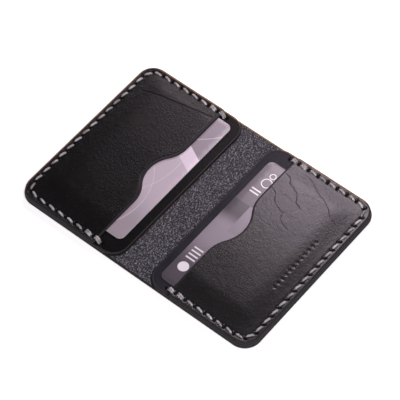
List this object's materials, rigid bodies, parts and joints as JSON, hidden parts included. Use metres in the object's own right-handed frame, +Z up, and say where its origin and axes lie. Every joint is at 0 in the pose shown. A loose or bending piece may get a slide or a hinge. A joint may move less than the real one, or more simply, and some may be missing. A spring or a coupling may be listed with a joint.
{
  "type": "card holder",
  "caption": "Open folding card holder of black leather, with a stitched pocket and thumb notch on each side of a flexible spine and a plastic card in each pocket.",
  "frame": {"origin": "middle of the underside, on the surface that the open holder lies on", "axes": "+X across the spine towards the right half, +Y along the spine, +Z up out of the pockets"},
  "size_m": [0.144, 0.1016, 0.0052],
  "materials": {
    "cover_leather": "black vegetable-tanned leather, smooth outside, grained flesh side inside",
    "panel_leather": "black smooth leather with fine grain, satin, burnished edges",
    "waxed_thread": "ash grey waxed linen thread",
    "pale_card": "satin laminated plastic card",
    "grey_card": "satin laminated plastic card"
  },
  "bodies": {
    "spine": {"spine": "cover_leather"},
    "left_half": {"cover_left": "cover_leather", "backing_left": "panel_leather", "pocket_left": "panel_leather", "stitching_left": "waxed_thread"},
    "right_half": {"cover_right": "cover_leather", "backing_right": "panel_leather", "pocket_right": "panel_leather", "stitching_right": "waxed_thread"},
    "left_card": {"card_left": "pale_card"},
    "right_card": {"card_right": "grey_card"}
  },
  "joints": [
    {"name": "fold_left", "type": "hinge", "parent": "spine", "child": "left_half", "pos_m": [-0.00382, 0, 0.0016], "axis": [0, 1, 0], "range_deg": [0, 90]},
    {"name": "fold_right", "type": "hinge", "parent": "spine", "child": "right_half", "pos_m": [0.00382, 0, 0.0016], "axis": [0, -1, 0], "range_deg": [0, 90]},
    {"name": "left_card_slide", "type": "slide", "parent": "left_half", "child": "left_card", "axis": [1, 0, 0], "range_m": [0, 0.0095]},
    {"name": "right_card_slide", "type": "slide", "parent": "right_half", "child": "right_card", "axis": [-1, 0, 0], "range_m": [0, 0.009]}
  ],
  "couplings": [
    {"joint": "fold_right", "follows": "fold_left", "ratio": 1}
  ]
}
